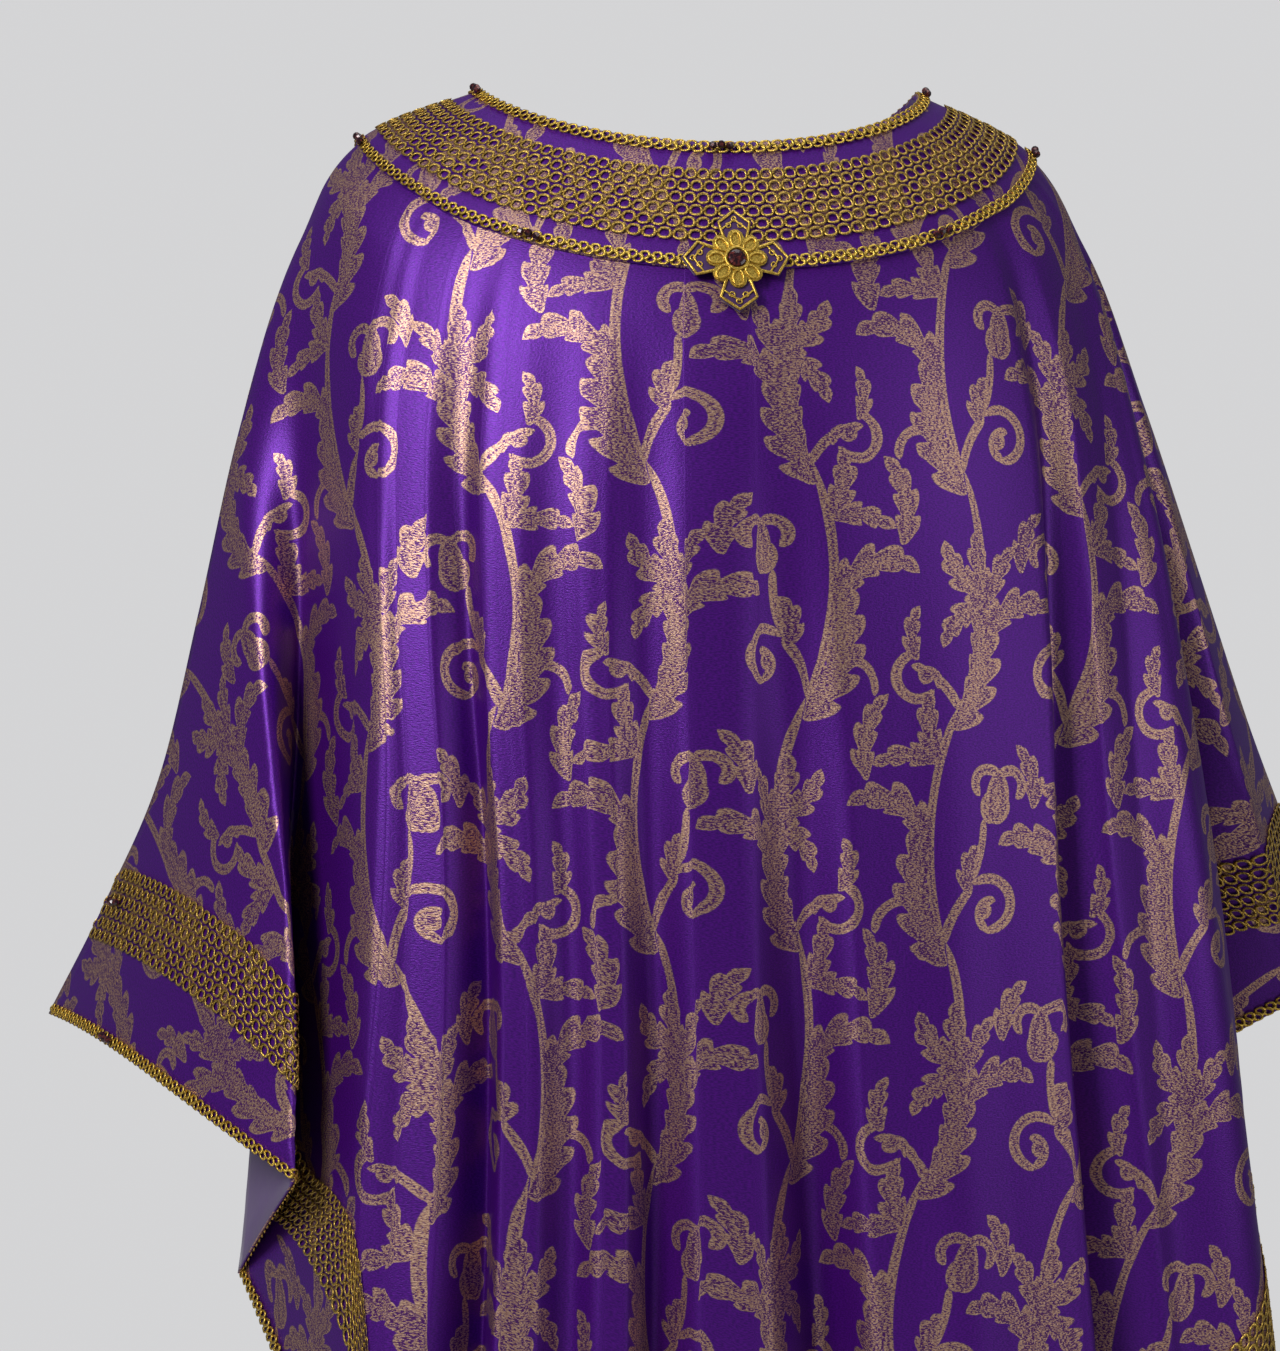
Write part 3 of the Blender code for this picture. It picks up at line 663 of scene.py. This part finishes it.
def makePanel(side):
    plan = panels[side]
    nc, nr = plan["columns"] + 1, plan["rows"] + 1
    stepC, stepR = panels["innerEvery"]
    angles = columnAngles(*panelSpans[side], nc)
    shares = np.linspace(0, 1, nr)
    downs = panelDowns(angles, shares)
    outer = cloth(angles[None, :], downs)
    normals = outward(np.broadcast_to(angles, downs.shape), downs)
    pickC, pickR = np.arange(0, nc, stepC), np.arange(0, nr, stepR)
    inner = (outer - normals * trims["cloth"])[np.ix_(pickR, pickC)]
    faces = [
        (r * nc + c, (r + 1) * nc + c, (r + 1) * nc + c + 1, r * nc + c + 1)
        for r in range(nr - 1)
        for c in range(nc - 1)
    ]
    outerFaces = len(faces)
    base, ic, ir = nr * nc, len(pickC), len(pickR)
    faces += [
        (base + r * ic + c, base + r * ic + c + 1, base + (r + 1) * ic + c + 1, base + (r + 1) * ic + c)
        for r in range(ir - 1)
        for c in range(ic - 1)
    ]
    innerFaces = len(faces)
    for i in range(ic - 1):  # neck edge and outer edge
        top = [i * stepC + k for k in range(stepC + 1)]
        faces.append((*top, base + i + 1, base + i))
        last = (nr - 1) * nc
        bottom = [last + v for v in reversed(top)]
        faces.append((*bottom, base + (ir - 1) * ic + i, base + (ir - 1) * ic + i + 1))
    for i in range(ir - 1):  # the two sides
        left = [(i * stepR + k) * nc for k in reversed(range(stepR + 1))]
        faces.append((*left, base + i * ic, base + (i + 1) * ic))
        right = [(i * stepR + k) * nc + nc - 1 for k in range(stepR + 1)]
        faces.append((*right, base + (i + 1) * ic + ic - 1, base + i * ic + ic - 1))
    points = np.concatenate([outer.reshape(-1, 3), inner.reshape(-1, 3)])
    piece = newMesh(
        side + "_panel_cloth", points, faces, brocadeCloth,
        reverse=lining, reverseFrom=(outerFaces, innerFaces),
    )
    flat = flattened(side)
    spread = flatAt(flat, np.linspace(0, 1, nc)[None, :] + 0 * downs, shares[:, None] + 0 * downs)
    spread = np.concatenate([spread.reshape(-1, 2), spread[np.ix_(pickR, pickC)].reshape(-1, 2)])
    addValues(piece, "across", spread[:, 0])
    addValues(piece, "upward", spread[:, 1])
    place(piece, "brocade", side + "_panel")
    return piece, flat


backPanel, backCut = makePanel("back")
print("chasuble: back panel", len(backPanel.data.polygons))
frontPanel, frontCut = makePanel("front")
print("chasuble: front panel", len(frontPanel.data.polygons))


def cutSize(flat):
    size = flat.reshape(-1, 2).max(0) - flat.reshape(-1, 2).min(0)
    rim = np.concatenate([flat[0], flat[1:, -1], flat[-1, -2::-1], flat[-2:0:-1, 0]])
    x, y = rim[:, 0], rim[:, 1]
    return size, abs(0.5 * np.sum(x * np.roll(y, -1) - y * np.roll(x, -1)))


class Band:
    # A strip of cloth along the neck or outer edge, where trims are laid by metres along it.
    def __init__(self, first, last, near, far, fromEdge, lines=9, step=0.002):
        fine = np.linspace(first, last, 6000)
        middle = cloth(fine, downAt(fine, (near + far) / 2, fromEdge))
        steps = np.linalg.norm(np.diff(middle, axis=0), axis=1)
        run = np.concatenate([[0], np.cumsum(steps)])
        self.length, self.near, self.far = run[-1], near, far
        count = int(self.length / step)
        angles = np.interp(np.linspace(0, self.length, count), run, fine)
        distances = np.linspace(near, far, lines)
        downs = np.stack([downAt(angles, d, fromEdge) for d in distances], axis=1)
        wide = np.broadcast_to(angles[:, None], downs.shape)
        self.points = cloth(wide, downs)
        self.normals = outward(wide, downs)
        self.turns, self.runs = fine, run

    def alongAt(self, angle):
        return float(np.interp(angle, self.turns, self.runs))

    def at(self, along, across, lift):  # across is measured from near
        count, lines = self.points.shape[:2]
        a = np.clip(along / self.length, 0, 1) * (count - 1)
        b = np.clip(across / (self.far - self.near), 0, 1) * (lines - 1)
        a0, b0 = np.minimum(a.astype(int), count - 2), np.minimum(b.astype(int), lines - 2)
        fa, fb = (a - a0)[..., None], (b - b0)[..., None]

        def blend(grid):
            low = grid[a0, b0] * (1 - fa) + grid[a0 + 1, b0] * fa
            high = grid[a0, b0 + 1] * (1 - fa) + grid[a0 + 1, b0 + 1] * fa
            return low * (1 - fb) + high * fb

        return blend(self.points) + blend(self.normals) * np.asarray(lift)[..., None]


def cordPieces(paths, radii, sides, closed):
    # Each path is an array of (along, across, lift) points. Returns one cord's points and faces.
    count = len(paths)
    ahead = np.roll(paths, -1, axis=0) - np.roll(paths, 1, axis=0)
    if not closed:
        ahead[0] = paths[1] - paths[0]
        ahead[-1] = paths[-1] - paths[-2]
    ahead /= np.linalg.norm(ahead, axis=1, keepdims=True)
    across = np.stack([-ahead[:, 1], ahead[:, 0], 0 * ahead[:, 0]], axis=1)
    across /= np.linalg.norm(across, axis=1, keepdims=True)
    above = np.array([0.0, 0.0, 1.0])
    turns = 2 * math.pi * (np.arange(sides) + 0.25) / sides
    wide, tall = radii
    ring = np.cos(turns)[None, :, None] * across[:, None, :] * wide
    ring = ring + np.sin(turns)[None, :, None] * above * tall
    points = (paths[:, None, :] + ring).reshape(-1, 3)
    faces = []
    for i in range(count if closed else count - 1):
        j = (i + 1) % count
        for k in range(sides):
            m = (k + 1) % sides
            faces.append((i * sides + k, i * sides + m, j * sides + m, j * sides + k))
    if not closed:
        faces.append(tuple(reversed(range(sides))))
        faces.append(tuple((count - 1) * sides + k for k in range(sides)))
    return points, faces


def repeated(cell, band, pitch, offsets, lengthways=None):
    # Lays one cell of cords along a band. A cell is a list of (points, faces).
    points = np.concatenate([p for p, _ in cell])
    starts = np.cumsum([0] + [len(p) for p, _ in cell])
    faces = [tuple(v + s for v in f) for (_, fs), s in zip(cell, starts) for f in fs]
    count = max(1, round(band.length / pitch))
    real = band.length / count
    begins = (np.arange(count) + offsets) * real
    along = points[None, :, 0] * (real / pitch) + begins[:, None]
    keep = (along.min(axis=1) >= 0) & (along.max(axis=1) <= band.length)
    along = along[keep]
    across = np.broadcast_to(points[None, :, 1], along.shape)
    lift = np.broadcast_to(points[None, :, 2], along.shape)
    placed = band.at(along, across, lift).reshape(-1, 3)
    size = len(points)
    allFaces = [tuple(v + i * size for v in f) for i in range(len(along)) for f in faces]
    return placed, allFaces


def joined(name, parts, material):
    starts = np.cumsum([0] + [len(p) for p, _ in parts])
    points = np.concatenate([p for p, _ in parts])
    faces = [tuple(int(v + s) for v in f) for (_, fs), s in zip(parts, starts) for f in fs]
    return newMesh(name, points, faces, material)


gimp = {
    "pitch": 0.008,  # from one loop to the next on the same side
    "loopHalf": (0.0030, 0.0028),
    "offset": 0.0014,  # of each side's loops from the middle
    "cord": (0.0011, 0.0009),
    "points": 11,
    "sides": 3,
    "core": (0.0009, 0.0008),
}


def loopPath(x, y, halfX, halfY, z, count, tilt=0.0, power=1.0):
    turns = 2 * math.pi * np.arange(count) / count
    c, s = np.cos(turns), np.sin(turns)
    px = np.sign(c) * np.abs(c) ** power * halfX
    py = np.sign(s) * np.abs(s) ** power * halfY
    return np.stack([x + px, y + py, z + tilt * c], axis=1)


def gimpBraid(name, band, base):
    middle = trims["gimpWidth"] / 2
    cordWide, cordTall = gimp["cord"]
    parts = []
    for side, start in ((-1, 0.25), (1, 0.75)):
        x, y = 0.0, middle + side * gimp["offset"]
        path = loopPath(x, y, *gimp["loopHalf"], base + cordTall, gimp["points"], tilt=0.0005)
        cell = [cordPieces(path, (cordWide, cordTall), gimp["sides"], True)]
        parts.append(repeated(cell, band, gimp["pitch"], start))
    return joined(name, parts, gimpGold)


lace = {
    "pitch": 0.009,
    "rows": 6,
    "loopHalf": (0.0037, 0.0036),
    "cord": (0.0011, 0.0008),
    "knot": (0.0016, 0.0011, 0.0011),
    "points": 12,
    "sides": 3,
}


def knotCell(x, y, z, size):
    wide, deep, tall = size
    turns = 2 * math.pi * np.arange(5) / 5
    rim = np.stack([x + wide * np.cos(turns), y + deep * np.sin(turns), z + 0 * turns], axis=1)
    points = np.concatenate([rim, [[x, y, z + tall], [x, y, z - tall * 0.3]]])
    faces = [(i, (i + 1) % 5, 5) for i in range(5)] + [((i + 1) % 5, i, 6) for i in range(5)]
    return points, faces


def laceNet(name, band, base):
    cordWide, cordTall = lace["cord"]
    rows, pitch = lace["rows"], lace["pitch"]
    width = band.far - band.near
    rowStep = (width - 2 * lace["loopHalf"][1] - 2 * cordWide) / (rows - 1)
    parts = []
    for r in range(rows):
        y = cordWide + lace["loopHalf"][1] + r * rowStep
        start = 0.25 if r % 2 else 0.75
        path = loopPath(0.0, y, *lace["loopHalf"], base + cordTall, lace["points"], tilt=0.0003, power=0.8)
        cell = [cordPieces(path, (cordWide, cordTall), lace["sides"], True)]
        parts.append(repeated(cell, band, pitch, start))
        knots = [knotCell(pitch / 2, y, base + cordTall, lace["knot"])]
        parts.append(repeated(knots, band, pitch, start))
    return joined(name, parts, laceGold)


w = trims
pieces = {}


def makeYoke():
    spans = np.concatenate([columnAngles(*panelSpans[s], 181) for s in ("back", "front")])
    rows = np.linspace(0, w["yokeWidth"], 15)
    downs = np.stack([downAt(spans, d, False) for d in rows])
    wide = np.broadcast_to(spans, downs.shape)
    points, normals = cloth(wide, downs), outward(wide, downs)
    outer = points + normals * (onPanel + w["yokeCloth"])
    inner = (points + normals * onPanel)[::14]
    nr, nc = downs.shape
    base = nr * nc
    faces = []
    for r in range(nr - 1):
        for c in range(nc):
            d = (c + 1) % nc
            faces.append((r * nc + c, (r + 1) * nc + c, (r + 1) * nc + d, r * nc + d))
    for c in range(nc):
        d = (c + 1) % nc
        faces.append((base + c, base + d, base + nc + d, base + nc + c))
        faces.append((c, d, base + d, base + c))
        faces.append(((nr - 1) * nc + d, (nr - 1) * nc + c, base + nc + c, base + nc + d))
    allPoints = np.concatenate([outer.reshape(-1, 3), inner.reshape(-1, 3)])
    piece = newMesh("yoke_cloth", allPoints, faces, brocadeCloth)
    radius = w["yokeWidth"] * 1.9 + rows
    turn = np.radians(spans)
    flatX = np.outer(radius, np.sin(turn))
    flatY = -np.outer(radius, np.cos(turn))
    flatAll = np.stack([flatX, flatY], axis=-1)
    values = np.concatenate([flatAll.reshape(-1, 2), flatAll[::14].reshape(-1, 2)])
    addValues(piece, "across", values[:, 0])
    addValues(piece, "upward", values[:, 1])
    area = 0.5 * (np.linalg.norm(np.diff(points[0], axis=0), axis=1).sum()
                  + np.linalg.norm(np.diff(points[-1], axis=0), axis=1).sum()) * w["yokeWidth"]
    return place(piece, "brocade", "yoke"), area


yoke, yokeArea = makeYoke()
neckBand = Band(-180, 180, 0.0, w["gimpWidth"], False)
pieces["neck_gimp"] = place(gimpBraid("neck_gimp_braid", neckBand, onYoke), "gimp", "neck_gimp")
laceBand = Band(-180, 180, w["yokeLaceStart"], w["yokeLaceStart"] + w["laceWidth"], False)
pieces["yoke_lace"] = place(laceNet("yoke_lace_net", laceBand, onYoke), "lace", "yoke_lace")
yokeBand = Band(-180, 180, w["yokeWidth"] - w["gimpWidth"], w["yokeWidth"], False)
pieces["yoke_gimp"] = place(gimpBraid("yoke_gimp_braid", yokeBand, onYoke), "gimp", "yoke_gimp")
print("chasuble: yoke trims")
edgeBands = {}
for side in ("back", "front"):
    hem = Band(*panelSpans[side], w["hemLaceStart"], w["hemLaceStart"] + w["laceWidth"], True)
    net = laceNet(side + "_edge_lace_net", hem, onPanel)
    pieces[side + "_edge_lace"] = place(net, "lace", side + "_edge_lace")
    edge = Band(*panelSpans[side], 0.0, w["gimpWidth"], True)
    edgeBands[side] = (hem, edge)
    braid = gimpBraid(side + "_edge_gimp_braid", edge, onPanel)
    pieces[side + "_edge_gimp"] = place(braid, "gimp", side + "_edge_gimp")
    print("chasuble:", side, "edge trims", len(net.data.polygons), len(braid.data.polygons))

for side, panel, cut in (("back", backPanel, backCut), ("front", frontPanel, frontCut)):
    (wide, long), area = cutSize(cut)
    print("chasuble: cut of the", side, round(wide, 3), round(long, 3), round(area, 3))
    pieces[side + "_edge_lace"]
    pieces[side + "_edge_gimp"]
cross = {
    "arm": 0.036,
    "tip": (0.0, 1.00),  # degrees from the arm's middle, and share of the arm
    "corner": (23.5, 0.82),
    "waist": (27.5, 0.50),
    "crotch": (45.0, 0.40),
    "borders": ((0.95, 0.0010), (0.78, 0.0007)),  # share of the outline, and thickness of the cord
    "petals": 8,
    "petalAt": 0.0132,
    "petalHalf": (0.0052, 0.0034),
    "ring": 0.0074,
    "seeds": ((0.024, -0.0042), (0.024, 0.0042), (0.0285, 0.0)),
    "plateTop": onGimp + 0.0018,
    "rosetteTop": onGimp + 0.0018 + 0.0014 + 0.0003,
}


def crossPlace(points):  # x across and y up from the cross's middle, and z out of the cloth
    edgeDown = float(downAt(np.array([0.0]), trims["yokeWidth"], False)[0])
    perDegree = np.linalg.norm(cloth(0.5, 0.08) - cloth(-0.5, 0.08))
    perDown = np.linalg.norm(cloth(0.0, edgeDown + 0.01) - cloth(0.0, edgeDown - 0.01)) / 0.02
    angle = points[:, 0] / perDegree
    down = edgeDown - (points[:, 1] + trims["gimpWidth"] / 2) / perDown
    along = smoothCloth(angle + 0.5, down) - smoothCloth(angle - 0.5, down)
    fall = smoothCloth(angle, down + 0.01) - smoothCloth(angle, down - 0.01)
    normal = np.cross(fall, along)
    normal /= np.linalg.norm(normal, axis=1, keepdims=True)
    return smoothCloth(angle, down) + points[:, 2:] * normal


def crossOutline(share):
    half = [cross["tip"], cross["corner"], cross["waist"], cross["crotch"]]
    around = []
    for arm in range(4):
        for off, radius in [(-o, r) for o, r in half[-2:0:-1]] + half:
            turn = math.radians(arm * 90 + off)
            around.append((turn, radius * share * cross["arm"]))
    return np.array([(r * math.cos(t), r * math.sin(t)) for t, r in around])


def makeCrossCords():
    parts = []

    def cord(path, thick, closed=True):
        points, faces = cordPieces(path, (thick, thick * 0.9), 6, closed)
        parts.append((crossPlace(points), faces))

    for share, thick in cross["borders"]:
        corners = crossOutline(share)
        fine = []
        for a, b in zip(corners, np.roll(corners, -1, axis=0)):
            fine += [a + (b - a) * k / 3 for k in range(3)]
        fine = np.array(fine)
        lift = np.full((len(fine), 1), cross["plateTop"] + thick * 0.8)
        cord(np.hstack([fine, lift]), thick)
    for k in range(cross["petals"]):
        turn = 2 * math.pi * k / cross["petals"]
        c, s = math.cos(turn), math.sin(turn)
        loop = loopPath(0, 0, *cross["petalHalf"], cross["rosetteTop"] + 0.0006, 18)
        x, y = loop[:, 0] + cross["petalAt"], loop[:, 1]
        cord(np.stack([x * c - y * s, x * s + y * c, loop[:, 2]], axis=1), 0.0008)
    cord(loopPath(0, 0, cross["ring"], cross["ring"], cross["rosetteTop"] + 0.0009, 32), 0.0010)
    for k in range(4):
        c, s = round(math.cos(math.pi / 2 * k)), round(math.sin(math.pi / 2 * k))
        for px, py in cross["seeds"]:
            loop = loopPath(px * c - py * s, px * s + py * c, 0.0017, 0.0017, cross["plateTop"] + 0.0005, 10)
            cord(loop, 0.0005)
    return joined("cross_cords", parts, gimpGold)


pieces["cross"] = place(makeCrossCords(), "gimp")
for node, finish in (("cross", crossField), ("cross_rosette", gimpGold), ("cross_stone", garnet)):
    bpy.data.objects[node].material_slots[0].material = finish
print("chasuble: cross")

beads = {
    "radius": 0.0027,
    "step": 0.0054,
    "neck": (-84, -1.3, 86, 180),  # angles of the clusters on each braid
    "yoke": (-86, -36, 40, 86, 144, -144),
    "sleeve": 0.115,  # metres along the left sleeve's edge
    "sleeveLace": 0.022,
}


def makeBeads():
    maker = bmesh.new()
    bmesh.ops.create_uvsphere(maker, u_segments=8, v_segments=5, radius=beads["radius"])
    ball = np.array([v.co for v in maker.verts])
    faces = [tuple(v.index for v in f.verts) for f in maker.faces]
    maker.free()
    parts = []
    clusters = [(neckBand, neckBand.alongAt(t), 0.0045, onGimp) for t in beads["neck"]]
    clusters += [(yokeBand, yokeBand.alongAt(t), 0.0045, onGimp) for t in beads["yoke"]]
    hem, edge = edgeBands["back"]
    clusters.append((edge, beads["sleeve"], 0.0045, onPanel + trims["gimpCloth"]))
    clusters.append((hem, beads["sleeveLace"], 0.030, onPanel + trims["gimpCloth"]))
    for band, along, across, lift in clusters:
        for k in (-1, 0, 1):
            where = along + k * beads["step"], across + 0.0009 * (k % 2)
            middle = band.at(np.array([where[0]]), np.array([where[1]]), np.array([lift + 0.0018]))
            turn = 1.1 * k + along * 40
            c, s = math.cos(turn), math.sin(turn)
            turned = ball @ np.array([[c, 0, -s], [0, 1, 0], [s, 0, c]])
            parts.append((turned + middle, faces))
    piece = joined("garnet_beads", parts, garnet)
    piece.data.shade_flat()
    return place(piece, "stone")


pieces["beads"] = makeBeads()
print("chasuble: beads")

# The floor, soft lights, and the camera. The backdrop is the world, so that no view is blocked.
stage = {"floor": -1.46, "radius": 1.6, "sides": 96, "backdrop": (0.66, 0.66, 0.67), "air": 0.17}
pale = plainFinish("pale studio floor", (0.80, 0.79, 0.77), 0.8, 0.0)
rimTurns = 2 * math.pi * np.arange(stage["sides"]) / stage["sides"]
rimX, rimY = stage["radius"] * np.cos(rimTurns), stage["radius"] * np.sin(rimTurns)
rim = np.stack([rimX, rimY, np.full(stage["sides"], stage["floor"])], axis=1)
studioFloor = newMesh("studio_floor", rim, [tuple(range(stage["sides"]))], pale, smooth=False)


def softLight(name, at, towards, size, power, colour=(1, 1, 1)):
    light = bpy.data.lights.new(name, "AREA")
    light.shape = "RECTANGLE"
    light.size, light.size_y = size
    light.energy = power
    light.color = colour
    lamp = bpy.data.objects.new(name, light)
    lamp.location = at
    lamp.rotation_euler = (Vector(towards) - Vector(at)).to_track_quat("-Z", "Y").to_euler()
    scene.collection.objects.link(lamp)


softLight("key light", (-2.2, -2.2, 1.5), (0, 0, -0.5), (1.2, 1.2), 105)
softLight("fill light", (2.6, -2.0, 0.4), (0, 0, -0.5), (1.6, 1.6), 20)
softLight("top light", (0.2, 0.3, 2.4), (0, 0, -0.4), (2.0, 2.0), 26)
world = bpy.data.worlds.new("studio air")
world.use_nodes = True
air = world.node_tree.nodes["Background"]
air.inputs["Color"].default_value = (0.9, 0.93, 1.0, 1)
air.inputs["Strength"].default_value = stage["air"]
paper = world.node_tree.nodes.new("ShaderNodeBackground")
paper.inputs["Color"].default_value = (*stage["backdrop"], 1)
seen = world.node_tree.nodes.new("ShaderNodeLightPath")
choice = world.node_tree.nodes.new("ShaderNodeMixShader")
world.node_tree.links.new(seen.outputs["Is Camera Ray"], choice.inputs[0])
world.node_tree.links.new(air.outputs[0], choice.inputs[1])
world.node_tree.links.new(paper.outputs[0], choice.inputs[2])
world.node_tree.links.new(choice.outputs[0], world.node_tree.nodes["World Output"].inputs["Surface"])
scene.world = world
scene.view_settings.view_transform = "Standard"

view = {
    "azimuth": -7.5, "elevation": 3.0, "target": (-0.067, -0.2, -0.379),
    "distance": 3.0, "span": 0.806,
}
sensor = 36.0
lens = bpy.data.cameras.new("photo view")
lens.sensor_fit, lens.sensor_width = "HORIZONTAL", sensor
lens.lens = sensor * view["distance"] / view["span"]
camera = bpy.data.objects.new("photo view", lens)
azimuth, elevation = math.radians(view["azimuth"]), math.radians(view["elevation"])
away = Vector((
    math.sin(azimuth) * math.cos(elevation), -math.cos(azimuth) * math.cos(elevation), math.sin(elevation)
))
camera.location = Vector(view["target"]) + away * view["distance"]
camera.rotation_euler = (-away).to_track_quat("-Z", "Y").to_euler()
scene.collection.objects.link(camera)
scene.camera = camera
